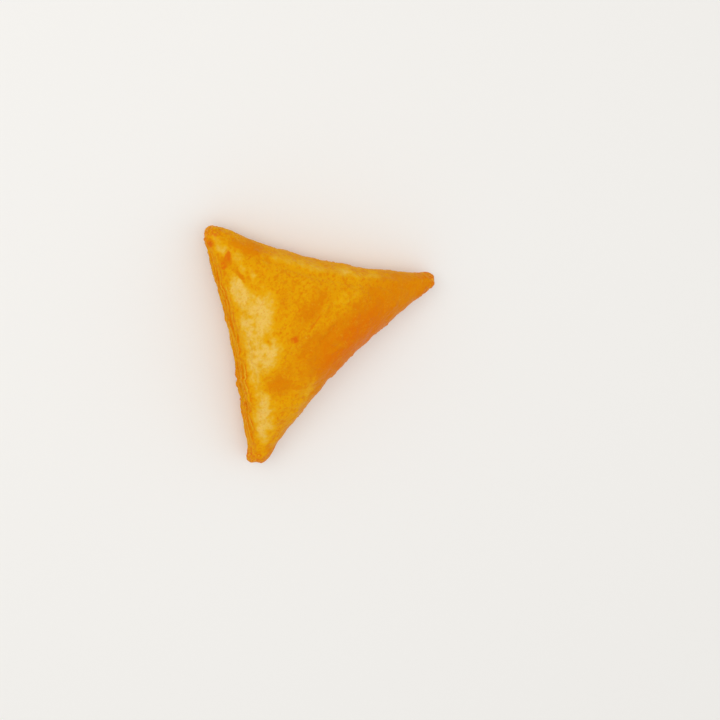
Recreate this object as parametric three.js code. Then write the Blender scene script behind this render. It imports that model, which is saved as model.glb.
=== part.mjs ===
// A samosa: a triangle of fried pastry folded round its filling, lying on its seam side.
//
// Frame: millimetres, +Z up. The long folded edge runs along X, and +Y points from it to the blunt apex.
// Origin: on the table, under the middle of the box that the pastry fills.
//
// The pastry is one closed skin. Rings of points run from the crown of the upper face, over the folded
// edge, to the flat spot of the under face, and every ring is the outline drawn smaller about one centre.
import * as THREE from "three";

const { clamp, degToRad, mapLinear, smoothstep } = THREE.MathUtils;

// Plan: three sides bow inwards between corners that would be sharp. Each corner is cut off blunt by one
// or two cuts: `off` is how far from the corner a cut crosses the middle of it, and `lean` turns the cut,
// in degrees anticlockwise, from square across the corner.
const CORNERS = {
  tail: { at: new THREE.Vector2(-58, -4.6), cuts: [{ off: 9.7, lean: 20 }] },
  tip: { at: new THREE.Vector2(58, -4.6), cuts: [{ off: 9.4, lean: -10 }] },
  apex: { at: new THREE.Vector2(3.2, 83.4), cuts: [{ off: 5.4, lean: 34 }, { off: 5.4, lean: -34 }] },
};
const SIDES = {
  long: { from: "tail", to: "tip", bow: 8.5 },
  smooth: { from: "tip", to: "apex", bow: 6.4 },
  layered: { from: "apex", to: "tail", bow: 3.8 },
};
const CORNER_ROUNDING = 2.2; // how softly a side runs into a blunt end

// Section: heights above the table.
const EDGE_HEIGHT = 8.6; // middle of the folded edge
const TIP_DROOP = 1.8; // how far the tips of the long edge hang below that
const WALL_HALF = 4.1; // half the thickness of the folded edge along the sides
const WALL_HALF_AT_CORNERS = 3.3;
const WALL_ROUNDING = 3.4; // how far in from the outline the folded edge is rounded
const WALL_SQUARENESS = 2.5; // 2 makes the edge a round fold, more makes it a squarer one
const CROWN_RISE = 12.4; // upper face above its shoulder, where the filling is deepest
const CROWN_FULLNESS = 1.9; // above 1 the face climbs quickly from its shoulder and then levels off
const BELLY_DROP = 5.8; // under face below its shoulder, before the table flattens it
const BELLY_FULLNESS = 3;
const TABLE_SOFTNESS = 1.0; // how gently the under face lifts off the table

// The filling pushes the skin out in broad lumps: wavelength, height and heading of each swell.
const SWELLS = [
  { length: 43, height: 0.5, heading: 0.4 },
  { length: 31, height: 0.35, heading: 1.7 },
  { length: 21, height: 0.22, heading: 2.6 },
];

// Two layers of pastry part along one side, with a groove between them. The last flap ends in a step
// under the pastry, and where its free edge leaves the layered side a fold of it stands out as a nub.
const LAYER_PITCH = 1.7; // height from the groove to the ridge of either layer
const LAYER_DEPTH = 0.35;
const LAYERS_FADE = 12; // length over which the groove dies away towards a corner
const FLAP_THICKNESS = 0.8;
const FLAP_FROM = new THREE.Vector2(-33, 27);
const FLAP_TO = new THREE.Vector2(22, 45);
const FLAP_SLOPE = 3.2; // width of the step
const NUB_HEIGHT = 1.2;
const NUB_LENGTH = 5;

const AROUND = 120; // points in a ring
const DOWN = 20; // rings on each face
const TURN_WEIGHT = 9; // millimetres of outline that one radian of turning counts as, in spacing points

/** Least of the values, rounded off where two of them are within `radius` of each other. */
function softMin(values, radius) {
  return values.reduce((a, b) => {
    const h = Math.max(radius - Math.abs(a - b), 0) / radius;
    return Math.min(a, b) - (h * h * radius) / 4;
  });
}

/** Circle that a side follows: it lies outside the pastry, so that the side bows inwards. */
function sideCircle({ from, to, bow }) {
  const a = CORNERS[from].at;
  const b = CORNERS[to].at;
  const half = a.distanceTo(b) / 2;
  const radius = (half * half + bow * bow) / (2 * bow);
  const outward = new THREE.Vector2(b.y - a.y, a.x - b.x).normalize();
  const centre = a.clone().lerp(b, 0.5).addScaledVector(outward, radius - bow);
  return { centre, radius };
}

/** Lines that cut a corner off blunt: a point on each and its direction into the pastry. */
function bluntEnds({ at, cuts }) {
  const bisector = MIDDLE.clone().sub(at).normalize();
  return cuts.map(({ off, lean }) => ({
    start: at.clone().addScaledVector(bisector, off),
    inward: bisector.clone().rotateAround(new THREE.Vector2(), degToRad(lean)),
  }));
}

const MIDDLE = Object.values(CORNERS)
  .reduce((sum, { at }) => sum.add(at), new THREE.Vector2())
  .divideScalar(3);
const CIRCLES = Object.values(SIDES).map(sideCircle);
const BLUNT_ENDS = Object.values(CORNERS).flatMap(bluntEnds);

/** Distances inwards from the long, smooth and layered sides. */
const sideDistances = (p) => CIRCLES.map(({ centre, radius }) => p.distanceTo(centre) - radius);

/** Distances inwards from the blunt ends. */
const endDistances = (p) => BLUNT_ENDS.map(({ start, inward }) => p.clone().sub(start).dot(inward));

/** How far inside the outline a point lies: zero on it, negative outside. */
const inset = (p) => softMin([...sideDistances(p), ...endDistances(p)], CORNER_ROUNDING);

/** Where a ray from the middle meets the outline. */
function outlineAt(angle) {
  const along = new THREE.Vector2(Math.cos(angle), Math.sin(angle));
  let inside = 0;
  let outside = CORNERS.apex.at.y;
  while (outside - inside > 1e-4) {
    const reach = (inside + outside) / 2;
    if (inset(MIDDLE.clone().addScaledVector(along, reach)) > 0) inside = reach;
    else outside = reach;
  }
  return MIDDLE.clone().addScaledVector(along, inside);
}

/** The outline, anticlockwise, as points that lie closer together where it turns. */
function outlinePoints(count) {
  const rays = 1800;
  const fine = Array.from({ length: rays + 1 }, (_, i) => outlineAt((2 * Math.PI * i) / rays));
  const heading = (i) => fine[(i + 1) % rays].clone().sub(fine[i % rays]).angle();
  const measure = [0];
  for (let i = 0; i < rays; i++) {
    const turn = Math.abs(((heading(i + 1) - heading(i) + 3 * Math.PI) % (2 * Math.PI)) - Math.PI);
    measure.push(measure[i] + fine[i].distanceTo(fine[i + 1]) + TURN_WEIGHT * turn);
  }
  const points = [];
  for (let i = 0, k = 0; i < count; i++) {
    const wanted = (measure[rays] * i) / count;
    while (measure[k + 1] < wanted) k++;
    const share = (wanted - measure[k]) / (measure[k + 1] - measure[k]);
    points.push(fine[k].clone().lerp(fine[k + 1], share));
  }
  return points;
}

/** Share of the full depth of filling under a point: 1 in the middle, 0 on the sides. */
const spread = (p) => sideDistances(p).reduce((product, d) => product * Math.max(d, 0), 1);
const MOST_SPREAD = spread(MIDDLE);
const filling = (p) => Math.min(spread(p) / MOST_SPREAD, 1);
const dome = (p, fullness) => 1 - (1 - filling(p)) ** fullness;

/** Middle of the folded edge above the table. */
const edgeHeight = (p) => EDGE_HEIGHT - TIP_DROOP * Math.abs(p.x / CORNERS.tip.at.x) ** 3;

/** Half thickness of the folded edge, growing from nothing on the outline to its full size. */
function wallHalf(p) {
  const toCorner = Math.min(...Object.values(CORNERS).map(({ at }) => p.distanceTo(at)));
  const full = mapLinear(smoothstep(toCorner, 8, 34), 0, 1, WALL_HALF_AT_CORNERS, WALL_HALF);
  const inwards = clamp(inset(p) / WALL_ROUNDING, 0, 1);
  return full * (1 - (1 - inwards) ** WALL_SQUARENESS) ** (1 / WALL_SQUARENESS);
}

/** Height of the broad lumps, which die away towards the edge. */
function swell(p) {
  const sum = SWELLS.reduce((total, { length, height, heading }, i) => {
    const along = p.x * Math.cos(heading) + p.y * Math.sin(heading);
    return total + height * Math.sin((2 * Math.PI * along) / length + i);
  }, 0);
  return sum * smoothstep(inset(p), 0, 4 * WALL_ROUNDING);
}

const upperHeight = (p) => edgeHeight(p) + wallHalf(p) + CROWN_RISE * dome(p, CROWN_FULLNESS) + swell(p);

/** 0 under the last flap, rising to 1 beyond its free edge. */
function beyondFlap(p) {
  const edge = FLAP_TO.clone().sub(FLAP_FROM).normalize();
  const across = edge.cross(p.clone().sub(FLAP_FROM));
  return smoothstep(across, -FLAP_SLOPE / 2, FLAP_SLOPE / 2);
}

/** The under face: a shallow bulge that the table flattens, raised beyond the flap by its thickness. */
function underHeight(p) {
  const free = edgeHeight(p) - wallHalf(p) - BELLY_DROP * dome(p, BELLY_FULLNESS);
  const raise = FLAP_THICKNESS * beyondFlap(p) * smoothstep(inset(p), 0, WALL_ROUNDING);
  return raise - softMin([-free, 0], TABLE_SOFTNESS);
}

/** How far a point of the folded edge stands out past the outline: the parted layers, and the nub. */
function standOut(p, height) {
  const [long, smooth, layered] = sideDistances(p);
  const onLayered = smoothstep(layered, 2, 0) * smoothstep(Math.min(long, smooth), 2, 2 + LAYERS_FADE);
  const fromGroove = Math.abs(height - edgeHeight(p)) / LAYER_PITCH;
  const ridge = fromGroove < 1.5 ? -Math.cos(Math.PI * fromGroove) : 0;
  const nub = Math.exp(-((p.distanceTo(FLAP_FROM) / NUB_LENGTH) ** 2));
  return onLayered * (LAYER_DEPTH * ridge + NUB_HEIGHT * nub);
}

/** Rings of points from the crown, over the edge, to the flat spot, with a single point at each end. */
function skinGeometry() {
  const outline = outlinePoints(AROUND);
  const outwards = outline.map((_, i) => {
    const along = outline[(i + 1) % AROUND].clone().sub(outline.at(i - 1));
    return new THREE.Vector2(along.y, -along.x).normalize();
  });

  const positions = [MIDDLE.x, MIDDLE.y, upperHeight(MIDDLE)];
  for (let row = 1; row < 2 * DOWN; row++) {
    const heightAt = row <= DOWN ? upperHeight : underHeight;
    outline.forEach((rim, i) => {
      const p = MIDDLE.clone().lerp(rim, Math.sin((Math.PI * row) / (2 * DOWN)));
      const z = heightAt(p);
      p.addScaledVector(outwards[i], standOut(p, z));
      positions.push(p.x, p.y, z);
    });
  }
  positions.push(MIDDLE.x, MIDDLE.y, underHeight(MIDDLE));

  const faces = [];
  const last = positions.length / 3 - 1;
  const at = (row, i) => 1 + (row - 1) * AROUND + (i % AROUND);
  for (let i = 0; i < AROUND; i++) {
    faces.push(0, at(1, i), at(1, i + 1));
    for (let row = 1; row < 2 * DOWN - 1; row++) {
      faces.push(at(row, i), at(row + 1, i), at(row + 1, i + 1));
      faces.push(at(row, i), at(row + 1, i + 1), at(row, i + 1));
    }
    faces.push(last, at(2 * DOWN - 1, i + 1), at(2 * DOWN - 1, i));
  }

  const geometry = new THREE.BufferGeometry();
  geometry.setAttribute("position", new THREE.Float32BufferAttribute(positions, 3));
  geometry.setIndex(faces);
  return geometry;
}

/** Moves a geometry so that the origin lies under the middle of its box, at its lowest point. */
function standOnOrigin(geometry) {
  geometry.computeBoundingBox();
  const { min, max } = geometry.boundingBox;
  geometry.translate(-(min.x + max.x) / 2, -(min.y + max.y) / 2, -min.z);
  geometry.computeVertexNormals();
  return geometry;
}

const friedPastry = new THREE.MeshStandardMaterial({
  color: 0xdd9408,
  roughness: 0.5,
  metalness: 0,
});

const crust = new THREE.Mesh(standOnOrigin(skinGeometry()), friedPastry);
crust.name = "samosa";

const samosa = new THREE.Group();
samosa.add(crust);

export default samosa;
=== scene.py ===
"""Fried samosa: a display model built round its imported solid.

Run as a script in Blender 4.5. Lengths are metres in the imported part's own frame: X runs along the long
folded edge, Y points from it to the blunt apex, and Z is up from the table. Places and sizes that belong
to the pastry itself are written in millimetres and turned to metres where they are used.
"""

import math

import bpy
import numpy as np
from bpy.props import FloatProperty, FloatVectorProperty, IntProperty, PointerProperty
from bpy.types import Operator, Panel, PropertyGroup
from mathutils import Matrix, Vector, noise


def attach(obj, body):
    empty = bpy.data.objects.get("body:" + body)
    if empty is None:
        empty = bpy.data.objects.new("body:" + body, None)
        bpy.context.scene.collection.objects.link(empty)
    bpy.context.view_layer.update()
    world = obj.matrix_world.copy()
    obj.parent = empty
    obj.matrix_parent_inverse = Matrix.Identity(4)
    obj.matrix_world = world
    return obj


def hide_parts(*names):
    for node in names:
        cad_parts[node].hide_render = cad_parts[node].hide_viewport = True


bl_info = {
    "name": "Fried samosa",
    "version": (1, 0, 0),
    "blender": (4, 5, 0),
    "location": "3D View > Sidebar > Samosa",
    "description": "Builds a fried samosa and a plain stage round a packed solid",
    "category": "Object",
}

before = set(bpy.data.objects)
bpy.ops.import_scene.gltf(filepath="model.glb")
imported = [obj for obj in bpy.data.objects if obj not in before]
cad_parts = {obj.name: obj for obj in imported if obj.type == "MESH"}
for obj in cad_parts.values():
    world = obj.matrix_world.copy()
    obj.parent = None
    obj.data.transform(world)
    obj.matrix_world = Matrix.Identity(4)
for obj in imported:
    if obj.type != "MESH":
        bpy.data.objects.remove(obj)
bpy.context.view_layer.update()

NODE = "samosa"
BODY = "root"
MM = 0.001

# Plan of the pastry, in millimetres: where its sides would meet if the corners were sharp, and how far
# each side bows inwards between two of them.
SHARP = {"tail": (-57.8, -42.5), "tip": (58.2, -42.5), "apex": (3.4, 45.5)}
BOWS = {"long": ("tail", "tip", 8.5), "smooth": ("tip", "apex", 6.4), "layered": ("apex", "tail", 3.8)}

# The blunt ends of the corners, in millimetres.
TAIL = np.array((-49.0, -38.0, 7.5))
TIP = np.array((50.0, -38.0, 7.5))
APEX = np.array((3.0, 39.0, 8.5))
LAYERED_RUN = (APEX - TAIL) / np.linalg.norm(APEX - TAIL)
EDGE_HEIGHT = 8.6
TIP_DROOP = 1.8
HALF_LENGTH = 58.0

# Free edge of the last flap, on the under face: its two ends in plan.
FLAP_EDGE = ((-32.8, -10.9), (22.2, 7.1))

# The last flap wraps round the layered side and ends this far along it from the tail.
FLAP_END = 35.0

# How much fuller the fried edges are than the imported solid's, in millimetres.
EDGE_SWELL = {"layered": 0.15, "smooth": 0.4}

# Places where the corners swell out: centre, reach and height.
LOBES = [
    ((-50.0, -34.0, 7.5), 3.6, 1.1),
    ((-46.0, -39.5, 7.0), 2.6, 0.6),
    ((-50.5, -37.5, 9.5), 2.4, -1.4),
    ((-29.5, -6.5, 8.0), 2.5, 1.3),
    ((0.0, 37.0, 10.0), 2.4, 0.5),
    ((4.5, 38.5, 9.0), 3.6, 0.8),
    ((9.0, 33.0, 9.0), 3.2, 1.0),
    ((51.0, -37.0, 7.0), 2.6, 0.5),
]

# Shallow folds: start, end, half width and depth. The creases in the upper face also get painted shade, a
# darker orange laid along them.
CREASES = [
    ((9.5, -2.0, 25.0), (3.0, -2.5, 25.5), 0.7, 0.4),
    ((10.0, -9.5, 25.0), (0.5, -10.5, 26.0), 0.8, 0.4),
    ((11.5, -16.5, 25.0), (1.0, -17.0, 25.0), 0.8, 0.45),
]
FOLDS = [
    ((-0.5, 37.0, 12.5), (3.0, 27.5, 16.0), 0.8, 0.55),
    ((3.5, 39.0, 11.0), (6.5, 30.5, 14.0), 0.8, 0.4),
    ((-3.5, 30.0, 12.0), (-0.5, 38.5, 10.0), 0.7, 0.4),
    ((-45.5, -32.5, 12.0), (-49.5, -37.5, 9.5), 0.8, 0.5),
    ((-47.0, -35.0, 5.0), (-42.0, -35.0, 4.0), 0.8, 0.4),
    ((44.0, -33.0, 12.0), (50.0, -35.0, 9.5), 0.8, 0.45),
    ((42.0, -35.5, 10.5), (49.0, -38.0, 8.0), 0.7, 0.35),
]

# Places where the crust is paler or darker than the rest: centre in plan, reach along and across, heading
# in degrees, and strength. A negative strength takes away what its neighbours add. The pale places are
# partly the crust's own paler, less fried dough and partly painted highlight where the upper face catches
# the light.
PALE_PLACES = [
    ((1.8, 34.0), 4.4, 1.8, 80, 0.9),
    ((3.4, 26.0), 4.5, 2.0, 80, 0.45),
    ((-5.0, 18.0), 6.0, 3.6, 60, 0.95),
    ((2.4, 16.0), 5.5, 1.6, 90, 0.45),
    ((-4.5, 7.0), 6.5, 4.6, 45, 0.8),
    ((-13.0, 3.0), 9.0, 4.6, 52, 0.9),
    ((-14.5, -6.0), 6.5, 4.2, 35, 0.85),
    ((-24.0, -8.0), 6.5, 2.6, 52, 0.6),
    ((-29.5, -20.0), 6.0, 3.6, 45, 1.0),
    ((-37.5, -27.0), 6.0, 3.2, 38, 1.0),
    ((-20.5, -17.0), 5.0, 3.4, 10, -0.7),
    ((-0.8, 20.5), 3.6, 0.7, 88, -0.8),
    ((-5.5, 23.0), 2.6, 1.0, 60, -0.5),
    # These four ovals along the smooth side are painted highlight: the light line where that rim catches
    # the light.
    ((14.0, 14.0), 6.0, 1.5, -61, 0.36),
    ((20.0, 3.5), 5.0, 1.5, -58, 0.5),
    ((27.0, -7.0), 6.0, 1.5, -56, 0.5),
    ((33.0, -15.5), 4.0, 1.3, -52, 0.36),
    ((-15.0, -27.0), 6.5, 2.8, 15, 0.3),
    ((20.0, -13.0), 8.0, 4.0, -20, 0.2),
]
PALE_UNDER = [
    ((-16.0, -21.0), 13.0, 5.5, 12, 0.8),
    ((16.0, -14.0), 9.0, 5.0, -30, 0.5),
    ((6.0, 17.0), 9.0, 4.0, -68, 0.8),
]
AMBER_PLACES = [
    ((-20.0, -17.5), 5.6, 4.0, 10, 1.0),
    ((8.5, 25.0), 9.0, 3.0, -65, 0.7),
    ((3.5, 4.5), 4.0, 2.4, 30, 0.5),
    ((10.0, -5.5), 8.5, 4.0, 0, 0.85),
    ((-4.0, -9.0), 4.0, 2.6, 0, 0.5),
    ((-2.0, -15.0), 9.0, 3.2, 0, 0.85),
    ((12.0, -17.0), 8.0, 3.0, 0, 0.5),
    ((31.0, -19.0), 8.0, 4.0, -35, 0.35),
    ((-0.8, 20.5), 4.2, 1.0, 88, 0.6),
    ((0.0, 28.0), 3.0, 2.2, 0, 0.8),
]
AMBER_UNDER = [
    ((-4.0, -3.0), 12.0, 5.0, 18, 0.9),
    ((20.0, -24.0), 9.0, 4.0, 0, 0.7),
]

# Small dark marks on the upper face: place in plan and radius. One more is on the layered side, where the
# flap's fold stands out.
SPOTS = [
    ((-4.0, -8.5), 1.5),
    ((-28.0, -27.5), 0.7),
    ((-2.5, 27.5), 1.3),
    ((0.5, 28.0), 1.1),
    ((2.0, 29.0), 1.1),
    ((0.0, 36.0), 1.5),
]
WALL_SPOT = (np.array((-30.0, -6.0, 7.5)), 1.8)

# Widths of the relief, in millimetres.
LUMP_SIZE = 11.0
RIPPLE_SIZE = 4.5
SWELL_SIZE = 6.5
BLISTER_SIZE = 2.8
CHIP_SIZE = 1.9
CRUMB_SIZE = 1.0
CORNER_REACH = 7.5

# Heights of the relief that a user has no setting for, in millimetres.
RIM_RIDGE = 0.3
RIM_HOLLOW = 0.22
FLAP_WRAP = 0.7
FLAP_UNDERCUT = 0.55

FAINTEST_WEIGHT = 0.004  # a vertex that a change moves less than this share of its height is left out


def linear(code):
    """Turns an sRGB hex colour such as "DD9408" to linear red, green and blue."""
    channels = (int(code[i : i + 2], 16) / 255 for i in (0, 2, 4))
    return tuple(c / 12.92 if c <= 0.04045 else ((c + 0.055) / 1.055) ** 2.4 for c in channels)


def side_circle(start, end, bow):
    """Circle that a side follows: it lies outside the pastry, so that the side bows inwards."""
    a, b = np.array(SHARP[start]), np.array(SHARP[end])
    half = np.linalg.norm(b - a) / 2
    radius = (half**2 + bow**2) / (2 * bow)
    outward = np.array((b[1] - a[1], a[0] - b[0])) / (2 * half)
    return (a + b) / 2 + (radius - bow) * outward, radius


SIDES = {name: side_circle(*bow) for name, bow in BOWS.items()}


def rising(values, low, high):
    """0 below `low`, 1 above `high`, and a smooth step between them; the limits may be reversed."""
    t = np.clip((values - low) / (high - low), 0, 1)
    return t * t * (3 - 2 * t)


# ---------------------------------------------------------------------------------------------------
# Sizes and colours that a user may change


def length(name, description, default):
    return FloatProperty(name=name, description=description, default=default * MM, unit="LENGTH")


def tint(name, description, code):
    default = linear(code)
    return FloatVectorProperty(
        name=name, description=description, default=default, subtype="COLOR", size=3
    )


class SamosaSizes(PropertyGroup):
    """Sizes of the pastry's relief."""

    grain: length("Mesh grain", "Size of the small squares that the skin is made of", 0.39)
    sheet_pitch: length("Sheet pitch", "Thickness of one wrapped sheet on the layered side", 1.9)
    sheet_relief: length("Sheet relief", "How far one sheet's edge stands proud of the next", 0.75)
    lump_height: length("Lump height", "Broad lumps, as of a filling under the skin", 1.2)
    ripple_height: length("Ripple height", "Ripples a few millimetres wide", 0.85)
    blister_height: length("Blister height", "Small bubbles in the crust", 0.5)
    crumb_height: length("Crumb height", "Fine roughness all over the crust", 0.22)
    chip_height: length("Chip height", "Broken flakes at the blunt corners", 1.5)
    seed: IntProperty(
        name="Seed", description="Chooses another pattern of lumps and patches", default=3
    )


class SamosaColours(PropertyGroup):
    """Colours of the crust, including its painted shade, highlights and glints, and of the floor."""

    golden: tint("Golden crust", "Most of the skin", "E29400")
    yellow: tint("Yellow crust", "Skin between golden and pale", "E8A804")
    # The pale and cream colours are partly the crust's paler dough and partly painted highlight.
    pale: tint("Pale crust", "Palest large areas, beside the layered side", "E8B634")
    cream: tint("Cream crust", "Lightest clouds within the pale areas", "F0C662")
    # Amber also serves as painted shade: on the side walls, and low down where the crust meets the floor.
    amber: tint("Amber crust", "Darker patches within the golden skin", "DC8000")
    # Orange also serves as painted shade: along the long edge, in the sheet gaps and in the creases.
    orange: tint("Orange crust", "Deepest colour, along the long folded edge", "DF6A00")
    brown: tint("Brown corners", "Blunt corners and small dark marks", "DE6806")
    # Painted glints: tiny light specks where the oil on the blisters would catch the light.
    painted_glint: tint("Speckle", "Tiny light blisters in the crust", "EDB228")
    floor: tint("Floor", "Plain pale floor under the pastry", "F3F1ED")


# ---------------------------------------------------------------------------------------------------
# Working on a mesh


def choose(piece):
    """Makes a piece the only selected object and the active one."""
    bpy.ops.object.select_all(action="DESELECT")
    piece.select_set(True)
    bpy.context.view_layer.objects.active = piece


def copy_node(name, new_name):
    """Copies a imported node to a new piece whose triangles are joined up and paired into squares."""
    piece = bpy.data.objects.new(new_name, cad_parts[name].data.copy())
    bpy.context.scene.collection.objects.link(piece)
    piece.data.materials.clear()
    choose(piece)
    bpy.ops.object.mode_set(mode="EDIT")
    bpy.ops.mesh.select_all(action="SELECT")
    bpy.ops.mesh.remove_doubles(threshold=0.01 * MM)
    bpy.ops.mesh.tris_convert_to_quads()
    bpy.ops.object.mode_set(mode="OBJECT")
    return piece


def apply_modifier(piece, kind, **settings):
    """Adds a modifier with its settings and applies it."""
    modifier = piece.modifiers.new(kind.title(), kind)
    for name, value in settings.items():
        setattr(modifier, name, value)
    bpy.ops.object.modifier_apply(modifier=modifier.name)


def raise_skin(piece, name, weights, height, texture=None, middle=0.0):
    """Moves the skin out by `height` where the weights are 1, following a texture if there is one."""
    group = piece.vertex_groups.new(name=name)
    for i in np.flatnonzero(weights > FAINTEST_WEIGHT):
        group.add([int(i)], float(weights[i]), "REPLACE")
    settings = {"vertex_group": name, "strength": height, "mid_level": middle}
    if texture:
        settings["texture"] = texture
    apply_modifier(piece, "DISPLACE", **settings)
    piece.vertex_groups.remove(piece.vertex_groups[name])


def cloud_texture(name, size, depth):
    """Soft noise whose lumps are `size` metres across."""
    texture = bpy.data.textures.new(name, "CLOUDS")
    texture.noise_scale = size
    texture.noise_depth = depth
    return texture


def bubble_texture(name, size, share):
    """Round domes, one to a cell `size` metres wide; `share` of the cell's reach is dome."""
    texture = bpy.data.textures.new(name, "VORONOI")
    texture.noise_scale = size
    texture.use_color_ramp = True
    ramp = texture.color_ramp
    ramp.interpolation = "EASE"
    ramp.elements[0].position = 0.0
    ramp.elements[0].color = (1, 1, 1, 1)
    ramp.elements[1].position = share
    ramp.elements[1].color = (0, 0, 0, 1)
    return texture


class Places:
    """Where each vertex of a piece lies on the pastry, as arrays in millimetres."""

    def __init__(self, piece, seed):
        flat = np.empty(len(piece.data.vertices) * 3)
        piece.data.vertices.foreach_get("co", flat)
        self.at = flat.reshape(-1, 3) / MM
        self.seed = seed
        self.x, self.y, self.z = self.at.T
        self.inset = {
            name: np.hypot(self.x - centre[0], self.y - centre[1]) - radius
            for name, (centre, radius) in SIDES.items()
        }
        self.above_edge = self.z - EDGE_HEIGHT + TIP_DROOP * np.abs(self.x / HALF_LENGTH) ** 3
        self.upper = rising(self.above_edge, 1.5, 4.0)
        self.under = rising(self.above_edge, -1.5, -4.0)

    def clouds(self, size, salt):
        """Noise from about -1 to 1 whose lumps are `size` millimetres across."""
        shift = Vector((salt * 7.31, salt * 3.77, self.seed * 5.13))
        return np.array([noise.noise(Vector(p) / size + shift) for p in self.at]) * 1.6

    def near(self, point, reach):
        """1 at a point, dying away over `reach`."""
        return np.exp(-np.sum((self.at - point) ** 2, axis=1) / reach**2)

    def near_line(self, start, end, reach):
        """1 on a straight line between two points, dying away over `reach`."""
        start, end = np.array(start), np.array(end)
        along = end - start
        share = np.clip((self.at - start) @ along / (along @ along), 0, 1)
        apart = self.at - start - share[:, None] * along
        ends = 4 * share * (1 - share)
        return np.exp(-np.sum(apart**2, axis=1) / reach**2) * np.sqrt(ends)

    def patch(self, centre, along, across, heading):
        """1 in the middle of an oval seen in plan, dying away towards its reach along and across."""
        turn = math.radians(heading)
        dx, dy = self.x - centre[0], self.y - centre[1]
        u = (dx * math.cos(turn) + dy * math.sin(turn)) / along
        v = (dy * math.cos(turn) - dx * math.sin(turn)) / across
        return np.exp(-(u**2) - v**2)

    def flap_side(self):
        """Distance in plan beyond the free edge of the last flap, negative under the flap."""
        (ax, ay), (bx, by) = FLAP_EDGE
        length = math.hypot(bx - ax, by - ay)
        wobble = 0.6 * np.sin(self.x / 4.1) + 0.35 * np.sin(self.x / 1.7 + 2)
        return ((bx - ax) * (self.y - ay) - (by - ay) * (self.x - ax)) / length + wobble

    def on_wall(self, side, depth=2.6):
        """1 on the folded edge along one side, 0 further in than `depth` and near the corners."""
        others = [self.inset[name] for name in SIDES if name != side]
        clear = rising(np.minimum(*others), 3.0, 15.0)
        return rising(self.inset[side], depth, depth - 1.8) * clear


def save_mask(piece, name, values):
    """Stores one number for each vertex, for the material to read."""
    attribute = piece.data.attributes.new(name, "FLOAT", "POINT")
    attribute.data.foreach_set("value", np.clip(values, 0, 1).astype(np.float32))


# ---------------------------------------------------------------------------------------------------
# The pastry


def sheet_levels(places, pitch):
    """Which sheet of the layered side a place is on, counted upwards; the fraction is how far up it."""
    run = (places.at - TAIL) @ LAYERED_RUN
    wander = 0.5 * np.sin(run / 6.3) + 0.3 * np.sin(run / 2.9 + 1.0) + 0.4 * np.sin(run / 14.0)
    return (places.above_edge + wander) / pitch


def sheet_edges(places, pitch):
    """Overlapping sheet edges along the layered side: each sheet swells out, then drops to the next."""
    sheet, phase = np.divmod(sheet_levels(places, pitch), 1.0)
    profile = phase**1.6 * rising(phase, 1.0, 0.8)
    run = (places.at - TAIL) @ LAYERED_RUN
    fade = 0.55 + 0.45 * np.sin(run / 6.1 + 2.3 * sheet) + 0.2 * np.sin(run / 2.3 + sheet)
    return profile * places.on_wall("layered", 3.2) * np.clip(fade, 0.12, 1)


def flap_wrap(places):
    """The end of the last flap, lying round the layered side between the tail and its cut edge."""
    run = (places.at - TAIL) @ LAYERED_RUN
    cut = FLAP_END + 0.35 * places.above_edge + 0.5 * np.sin(places.above_edge * 1.3)
    wall = rising(places.inset["layered"], 5.0, 2.5)
    return wall * rising(run, cut, cut - 0.8) * rising(run, cut - 26.0, cut - 4.0)


def rim_ridge(places, side):
    """Low ridge where the upper face turns down into the folded edge."""
    inset = places.inset[side]
    others = [places.inset[name] for name in SIDES if name != side]
    clear = rising(np.minimum(*others), 1.0, 9.0)
    return np.exp(-(((inset - 2.4) / 0.9) ** 2)) * places.upper * clear


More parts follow.
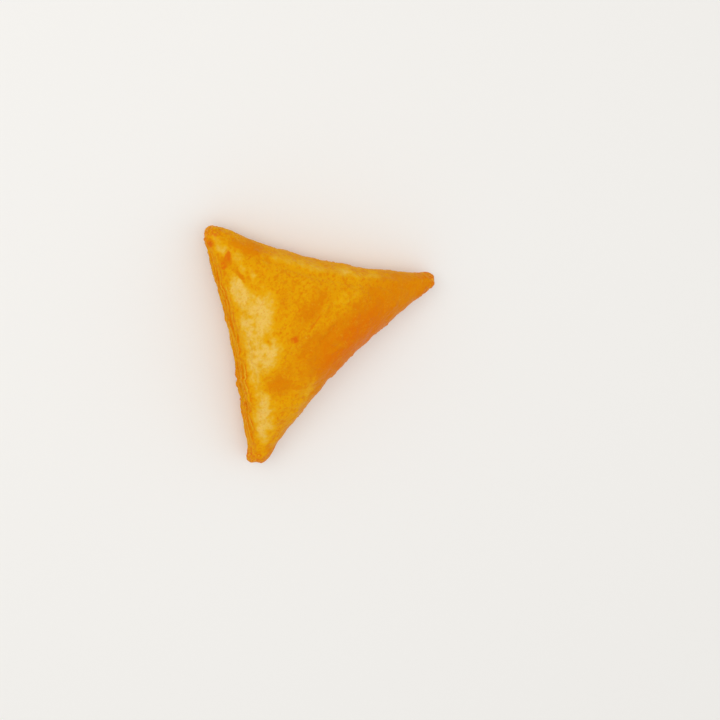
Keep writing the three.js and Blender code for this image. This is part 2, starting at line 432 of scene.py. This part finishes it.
def sculpt(piece, sizes):
    """Gives the smooth skin its folds, sheet edges, lumps, blisters and broken corners."""
    places = Places(piece, sizes.seed)
    ends = sum(places.near(corner, CORNER_REACH) for corner in (TAIL, TIP, APEX))
    free = rising(places.z, 0.3, 2.0)
    patchy = places.clouds(9.0, 1)

    lumps = cloud_texture("lumps", LUMP_SIZE * MM, 1)
    raise_skin(piece, "lumps", free * (1 - 0.6 * ends), sizes.lump_height, lumps, 0.5)
    ripples = cloud_texture("ripples", RIPPLE_SIZE * MM, 2)
    raise_skin(piece, "ripples", free, sizes.ripple_height, ripples, 0.5)

    sheets = sheet_edges(places, sizes.sheet_pitch / MM)
    raise_skin(piece, "sheet_edges", sheets, sizes.sheet_relief)
    for side, swell in EDGE_SWELL.items():
        raise_skin(piece, "edge_" + side, places.on_wall(side, 5.0), swell * MM)
        ridge = rim_ridge(places, side) * (0.7 + 0.3 * patchy)
        raise_skin(piece, "rim_" + side, ridge, RIM_RIDGE * MM)
        hollow = places.on_wall(side, 6.5) * places.upper * rising(places.inset[side], 3.0, 4.5)
        raise_skin(piece, "rim_hollow_" + side, hollow, -RIM_HOLLOW * MM)

    for number, (start, end, reach, depth) in enumerate(CREASES + FOLDS):
        fold = places.near_line(start, end, reach)
        raise_skin(piece, f"fold_{number}", fold, -depth * MM)

    for number, (centre, reach, height) in enumerate(LOBES):
        raise_skin(piece, f"lobe_{number}", places.near(np.array(centre), reach), height * MM)
    raise_skin(piece, "flap_wrap", flap_wrap(places), FLAP_WRAP * MM)

    beyond = places.flap_side()
    undercut = np.exp(-(((beyond - 0.9) / 0.8) ** 2)) * places.under
    raise_skin(piece, "flap_undercut", undercut, -FLAP_UNDERCUT * MM)

    blister_mask = np.clip(0.45 + 0.9 * patchy, 0, 1) * free * (1 - 0.8 * np.clip(ends, 0, 1))
    swells = bubble_texture("swells", SWELL_SIZE * MM, 0.4)
    raise_skin(piece, "swells", blister_mask, 1.3 * sizes.blister_height, swells)
    bubbles = bubble_texture("bubbles", BLISTER_SIZE * MM, 0.36)
    raise_skin(piece, "blisters", blister_mask, sizes.blister_height, bubbles)
    crumbs = cloud_texture("crumbs", CRUMB_SIZE * MM, 2)
    raise_skin(piece, "crumbs", free, sizes.crumb_height, crumbs, 0.5)
    chips = cloud_texture("chips", CHIP_SIZE * MM, 2)
    raise_skin(piece, "chips", np.clip(ends, 0, 1) * free, sizes.chip_height, chips, 0.5)


def seat(piece):
    """Presses whatever would sink into the table flat against it."""
    heights = np.empty(len(piece.data.vertices) * 3)
    piece.data.vertices.foreach_get("co", heights)
    low = heights[2::3] < 0
    if not low.any():
        return
    choose(piece)
    bpy.ops.object.mode_set(mode="EDIT")
    bpy.ops.mesh.select_mode(type="VERT")
    bpy.ops.mesh.select_all(action="DESELECT")
    bpy.ops.object.mode_set(mode="OBJECT")
    piece.data.vertices.foreach_set("select", low)
    bpy.ops.object.mode_set(mode="EDIT")
    bpy.ops.transform.resize(value=(1, 1, 0), center_override=(0, 0, 0))
    bpy.ops.object.mode_set(mode="OBJECT")


def mark_crust_and_painted_light(piece, seed, pitch):
    """Stores how the crust is coloured: pale, amber, orange and brown places, and the folded edges. Some
    of these are painted shade, on the walls, gaps, creases, long edge and underside, and painted
    highlight, on the sheet lips and pale places.
    """
    places = Places(piece, seed)
    drift = places.clouds(8.0, 4)
    ragged = places.clouds(3.0, 5)
    fine = places.clouds(1.2, 6)
    upper = rising(places.above_edge, -0.5, 3.5)
    off_wall = rising(places.inset["layered"] + 0.7 * ragged, 1.0, 4.5)

    def patches(specs):
        return sum(strength * places.patch(*spec) for *spec, strength in specs)

    # Noise that breaks up the edges of the pale and amber patches.
    unevenness = 1 + 0.3 * drift + 0.5 * ragged + 0.3 * fine
    # Pale: partly paler dough, partly painted highlight on the upper face.
    pale = unevenness * patches(PALE_PLACES) * upper * off_wall
    pale += unevenness**2 * patches(PALE_UNDER) * places.under
    amber = unevenness * (patches(AMBER_PLACES) * upper + patches(AMBER_UNDER) * places.under)

    # The long folded edge is a deeper orange, more so towards the tip than towards the tail. This is
    # partly the crust's own deeper fry and partly painted shade and painted warm reflection, where the
    # skin curves down to that edge.
    inwards = places.inset["long"] + 2.2 * ragged + 1.5 * drift
    along = rising(places.x + 3.5 * ragged + 4.0 * drift, -24.0, 4.0)
    flush = rising(inwards, 22.0, 10.0) * along * (0.35 + 0.65 * rising(places.x, 50.0, 14.0))
    edge = 0.75 * rising(inwards, 6.0, 0.5) * (0.45 + 0.55 * along)
    flush = np.maximum(flush * upper, edge)

    ends = sum(places.near(corner, reach) for corner, reach in ((TAIL, 8.5), (TIP, 7.5), (APEX, 5.0)))
    brown = ends * (0.72 + 0.5 * ragged + 0.9 * fine)
    spots = upper * sum(places.patch(centre, reach, reach, 0) for centre, reach in SPOTS)
    spots = (spots + places.near(*WALL_SPOT)) * (0.85 + 0.5 * fine)

    # The folded side walls get amber painted shade, for the way they turn away from the light. The same
    # mask also makes them rougher.
    walls = np.maximum(places.on_wall("layered", 3.6), 0.5 * places.on_wall("smooth", 2.2))
    levels = np.mod(sheet_levels(places, pitch), 1.0)
    layered = places.on_wall("layered", 3.4)
    # Painted shade: orange at the foot of each sheet on the layered side, and along the creases below.
    gaps = layered * rising(levels, 0.6, 0.0) * (0.8 + 0.4 * ragged)
    # Painted highlight: a paler lip at the top of each sheet on the layered side.
    pale += 0.5 * layered * rising(levels, 0.55, 0.85) * (0.7 + 0.8 * drift)
    for start, end, reach, _ in CREASES:
        gaps = np.maximum(gaps, 0.8 * places.near_line(start, end, 0.6 * reach))
    # Painted shade: darker amber low down, where the crust meets the floor.
    contact_shade = rising(places.z, 1.6, 0.2) * (0.6 + 0.4 * drift)
    lip = np.exp(-((places.flap_side() / 1.2) ** 2)) * places.under

    save_mask(piece, "pale", pale)
    save_mask(piece, "amber", np.maximum(amber, contact_shade))
    save_mask(piece, "flush", np.maximum(flush, 0.7 * lip))
    save_mask(piece, "brown", brown)
    save_mask(piece, "spots", spots)
    save_mask(piece, "walls", walls)
    save_mask(piece, "gaps", gaps)


class SAMOSA_OT_crust(Operator):
    """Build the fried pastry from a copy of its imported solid."""

    bl_idname = "samosa.crust"
    bl_label = "Fried crust"

    def execute(self, context):
        sizes = context.scene.samosa_sizes
        crust = copy_node(NODE, "samosa_crust")
        apply_modifier(crust, "SUBSURF", levels=2, render_levels=2)
        apply_modifier(crust, "REMESH", mode="VOXEL", voxel_size=sizes.grain)
        apply_modifier(crust, "SMOOTH", factor=0.5, iterations=4)
        sculpt(crust, sizes)
        seat(crust)
        mark_crust_and_painted_light(crust, sizes.seed, sizes.sheet_pitch / MM)
        bpy.ops.object.shade_smooth()
        crust.data.materials.append(fried_pastry(context.scene.samosa_colours))
        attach(crust, BODY)
        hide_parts(NODE)
        return {"FINISHED"}


# ---------------------------------------------------------------------------------------------------
# Materials

MIX_A, MIX_B, MIX_RESULT = 6, 7, 2  # colour sockets of a Mix node
FLAKE_SIZE = 1.4  # millimetres
BUMP_HEIGHT = 0.3  # millimetres
SHEEN_TINT = (1.0, 0.66, 0.22, 1.0)  # warm, so that the sheen doesn't grey the yellows
SCATTER_RADIUS = (1.0, 0.45, 0.12)  # how far red, green and blue light spread in the crust, relatively
SCATTER_DEPTH = 1.5  # millimetres that the furthest spreads


def add(tree, kind, inputs=None, **settings):
    """Adds one node. `inputs` gives a socket a value, or the output that feeds it."""
    node = tree.nodes.new(kind)
    for name, value in settings.items():
        setattr(node, name, value)
    for socket, value in (inputs or {}).items():
        if isinstance(value, bpy.types.NodeSocket):
            tree.links.new(value, node.inputs[socket])
        else:
            node.inputs[socket].default_value = value
    return node


def new_material(name):
    """A material with its shader and an empty board beside it."""
    material = bpy.data.materials.new(name)
    material.use_nodes = True
    tree = material.node_tree
    return material, tree, tree.nodes["Principled BSDF"]


def rgba(colour):
    return (*colour, 1.0)


# Patterns in the crust: size of a lump in millimetres, detail, roughness, and how far it is drawn out
# along the long folded edge.
PATTERNS = {
    "mottle": (6.0, 4.0, 0.62, 0.5),
    "blotch": (3.2, 4.0, 0.62, 0.8),
    "grain": (1.7, 3.0, 0.6, 0.8),
    "crumbs": (0.75, 2.0, 0.5, 0.8),
}

# Layers of colour over the golden skin, lowest first: the place mask and the pattern that roughens it, how
# much the pattern counts, where between 0 and 1 the layer starts and is complete, strength, and colour.
LAYERS = [
    ("", "mottle", 1.0, -0.04, 0.12, 0.85, "amber"),
    ("", "mottle", -1.0, 0.02, 0.16, 0.5, "yellow"),
    ("", "blotch", 1.0, -0.01, 0.11, 0.8, "yellow"),
    ("", "grain", -1.0, 0.0, 0.12, 0.6, "amber"),
    ("", "grain", 1.0, 0.0, 0.12, 0.5, "yellow"),
    # Painted shade on the folded side walls.
    ("walls", "mottle", 1.2, 0.35, 0.9, 0.7, "amber"),
    ("amber", "grain", 1.2, 0.1, 0.8, 0.85, "amber"),
    # The long edge's orange: partly the crust's own colour, partly painted shade and painted warm
    # reflection.
    ("flush", "blotch", 0.9, -0.05, 0.55, 0.85, "amber"),
    ("flush", "mottle", 1.0, 0.02, 0.75, 0.95, "orange"),
    ("flush", "grain", 1.6, 0.95, 1.35, 0.5, "golden"),
    ("", "crumbs", -1.0, 0.04, 0.16, 0.35, "orange"),
    # Pale layers: partly paler dough, partly painted highlight, the cream most of all.
    ("pale", "blotch", 0.6, 0.08, 0.35, 0.9, "yellow"),
    ("pale", "grain", 0.9, 0.2, 0.72, 0.92, "pale"),
    ("pale", "grain", 1.2, 0.48, 1.2, 0.85, "cream"),
    ("", "crumbs", -1.0, 0.02, 0.15, 0.28, "amber"),
    # Painted shade in the gaps between sheets and in the creases.
    ("gaps", "grain", 1.0, 0.1, 0.9, 0.75, "orange"),
    ("brown", "grain", 1.4, 0.15, 0.8, 0.85, "brown"),
    ("spots", "crumbs", 1.2, 0.1, 0.8, 0.85, "brown"),
    # Painted glints on the corners' crumbs and on the tops of small bumps.
    ("brown", "crumbs", 2.0, 0.7, 1.0, 0.7, "painted_glint"),
    ("mottle", "crumbs", 1.2, 0.5, 0.64, 0.7, "painted_glint"),
]


def fried_pastry(colours):
    """Fried pastry: thin sheets of dough browned in oil, with a thin film of oil left on them.

    The oil gives a soft sheen, never a mirror. The colour runs from cream through gold to orange. It also
    carries painted shade on the walls, creases, long edge and underside, and painted highlights and
    glints.
    """
    material, tree, shader = new_material("fried_pastry")
    place = add(tree, "ShaderNodeTexCoord").outputs["Object"]

    fields = {"": 0.0}
    for name, (size, detail, roughness, stretch) in PATTERNS.items():
        drawn = add(tree, "ShaderNodeMapping", {"Vector": place, "Scale": (stretch, 1, 1)})
        inputs = {
            "Vector": drawn.outputs["Vector"],
            "Scale": 1 / (size * MM),
            "Detail": detail,
            "Roughness": roughness,
        }
        fields[name] = add(tree, "ShaderNodeTexNoise", inputs).outputs["Fac"]
    for name in sorted({layer[0] for layer in LAYERS if layer[0]}):
        fields[name] = add(tree, "ShaderNodeAttribute", attribute_name=name).outputs["Fac"]

    colour = rgba(colours.golden)
    for mask, pattern, spread, start, full, strength, hue in LAYERS:
        both = add(
            tree,
            "ShaderNodeMath",
            {0: fields[pattern], 1: spread, 2: fields[mask]},
            operation="MULTIPLY_ADD",
        )
        limits = {
            "Value": both.outputs[0],
            "From Min": start + spread / 2,
            "From Max": full + spread / 2,
            "To Max": strength,
        }
        shown = add(tree, "ShaderNodeMapRange", limits, interpolation_type="SMOOTHSTEP")
        sockets = {0: shown.outputs["Result"], MIX_A: colour, MIX_B: rgba(getattr(colours, hue))}
        colour = add(tree, "ShaderNodeMix", sockets, data_type="RGBA").outputs[MIX_RESULT]

    # Fine wandering flakes, kept to patches: thin light arcs in the glint colour, painted glints on raised
    # flakes. They are drawn coarser than real ones, so as to show.
    drawn = add(
        tree,
        "ShaderNodeTexNoise",
        {"Vector": place, "Scale": 1 / (FLAKE_SIZE * MM), "Detail": 1.0, "Roughness": 0.55, "Offset": 1.0},
        noise_type="RIDGED_MULTIFRACTAL",
        normalize=False,
    )
    ridge = add(
        tree, "ShaderNodeMapRange", {"Value": drawn.outputs["Fac"], "From Min": 1.15, "From Max": 1.6}
    )
    patchy = add(
        tree, "ShaderNodeMapRange", {"Value": fields["blotch"], "From Min": 0.5, "From Max": 0.7}
    )
    glint_flakes = add(
        tree,
        "ShaderNodeMath",
        {0: ridge.outputs["Result"], 1: patchy.outputs["Result"]},
        operation="MULTIPLY",
    )
    sockets = {0: glint_flakes.outputs[0], MIX_A: colour, MIX_B: rgba(colours.painted_glint)}
    colour = add(tree, "ShaderNodeMix", sockets, data_type="RGBA").outputs[MIX_RESULT]
    tree.links.new(colour, shader.inputs["Base Color"])

    # The finest roughness is finer than the mesh, so it is only bumped.
    height = add(
        tree, "ShaderNodeMath", {0: fields["grain"], 1: fields["crumbs"]}, operation="ADD"
    )
    bump = add(
        tree,
        "ShaderNodeBump",
        {"Height": height.outputs[0], "Strength": 0.8, "Distance": BUMP_HEIGHT * MM},
    )
    tree.links.new(bump.outputs["Normal"], shader.inputs["Normal"])

    rough = add(
        tree,
        "ShaderNodeMapRange",
        {"Value": fields["grain"], "From Min": 0.3, "From Max": 0.7, "To Min": 0.38, "To Max": 0.6},
    )
    flaky = add(
        tree,
        "ShaderNodeMath",
        {0: fields["walls"], 1: 0.25, 2: rough.outputs["Result"]},
        operation="MULTIPLY_ADD",
    )
    tree.links.new(flaky.outputs[0], shader.inputs["Roughness"])
    shader.inputs["IOR"].default_value = 1.46
    shader.inputs["Specular IOR Level"].default_value = 0.13
    shader.inputs["Specular Tint"].default_value = SHEEN_TINT
    shader.inputs["Subsurface Weight"].default_value = 0.06
    shader.inputs["Subsurface Radius"].default_value = SCATTER_RADIUS
    shader.inputs["Subsurface Scale"].default_value = SCATTER_DEPTH * MM
    return material


def painted_floor(colours):
    """Matt painted board: a plain pale floor with no pattern large enough to see."""
    material, tree, shader = new_material("painted_board")
    shader.inputs["Base Color"].default_value = rgba(colours.floor)
    shader.inputs["Roughness"].default_value = 0.9
    shader.inputs["Specular IOR Level"].default_value = 0.1
    return material


# ---------------------------------------------------------------------------------------------------
# The stage

CAMERA_AT = (0.0073, 0.1052, 0.4038)
CAMERA_TILT = math.radians(-20.0)  # from straight down, towards the apex
CAMERA_ROLL = math.radians(-46.13)  # so that the apex points to the upper left of the view
FIELD_OF_VIEW = math.radians(37.0)
FLOOR_SIZE = 12.0

# Soft lights: name, place, size across, and power in watts. All point at the pastry.
LIGHTS = [
    ("key_light", (-0.10, 0.45, 0.75), 0.6, 1.45),
    ("fill_light", (0.35, -0.50, 0.55), 0.8, 0.4),
    ("top_light", (-0.05, 0.05, 1.1), 0.9, 0.95),
]
AIM = Vector((0, -0.008, 0.012))
SKY_STRENGTH = 0.75


class SAMOSA_OT_stage(Operator):
    """Add the floor, the soft lights and the camera."""

    bl_idname = "samosa.stage"
    bl_label = "Stage"

    def execute(self, context):
        scene = context.scene
        bpy.ops.object.select_all(action="DESELECT")
        bpy.ops.mesh.primitive_plane_add(size=FLOOR_SIZE)
        floor = context.active_object
        floor.name = "floor"
        floor.data.materials.append(painted_floor(scene.samosa_colours))

        for name, at, size, power in LIGHTS:
            bpy.ops.object.light_add(type="AREA", location=at)
            light = context.active_object
            light.name = name
            light.data.shape = "DISK"
            light.data.size = size
            light.data.energy = power
            light.visible_camera = False
            light.rotation_euler = (AIM - Vector(at)).to_track_quat("-Z", "Y").to_euler()

        world = bpy.data.worlds.new("studio")
        world.use_nodes = True
        sky = world.node_tree.nodes["Background"]
        sky.inputs["Color"].default_value = (1.0, 1.0, 1.0, 1.0)
        sky.inputs["Strength"].default_value = SKY_STRENGTH
        scene.world = world
        scene.view_settings.view_transform = "Standard"

        bpy.ops.object.camera_add()
        camera = context.active_object
        camera.name = "camera"
        turn = Matrix.Rotation(CAMERA_TILT, 4, "X") @ Matrix.Rotation(CAMERA_ROLL, 4, "Z")
        camera.matrix_world = Matrix.Translation(CAMERA_AT) @ turn
        camera.data.angle = FIELD_OF_VIEW
        scene.camera = camera
        return {"FINISHED"}


class SAMOSA_PT_panel(Panel):
    """Lists the builders and their settings."""

    bl_idname = "SAMOSA_PT_panel"
    bl_label = "Samosa"
    bl_space_type = "VIEW_3D"
    bl_region_type = "UI"
    bl_category = "Samosa"

    def draw(self, context):
        for group in (context.scene.samosa_sizes, context.scene.samosa_colours):
            box = self.layout.box()
            for name in group.__annotations__:
                box.prop(group, name)
        for operator in (SAMOSA_OT_crust, SAMOSA_OT_stage):
            self.layout.operator(operator.bl_idname)


CLASSES = (SamosaSizes, SamosaColours, SAMOSA_OT_crust, SAMOSA_OT_stage, SAMOSA_PT_panel)


def register():
    for cls in CLASSES:
        bpy.utils.register_class(cls)
    bpy.types.Scene.samosa_sizes = PointerProperty(type=SamosaSizes)
    bpy.types.Scene.samosa_colours = PointerProperty(type=SamosaColours)


def unregister():
    del bpy.types.Scene.samosa_colours
    del bpy.types.Scene.samosa_sizes
    for cls in reversed(CLASSES):
        bpy.utils.unregister_class(cls)


def main():
    register()
    bpy.ops.samosa.crust()
    bpy.ops.samosa.stage()


if __name__ == "__main__":
    main()
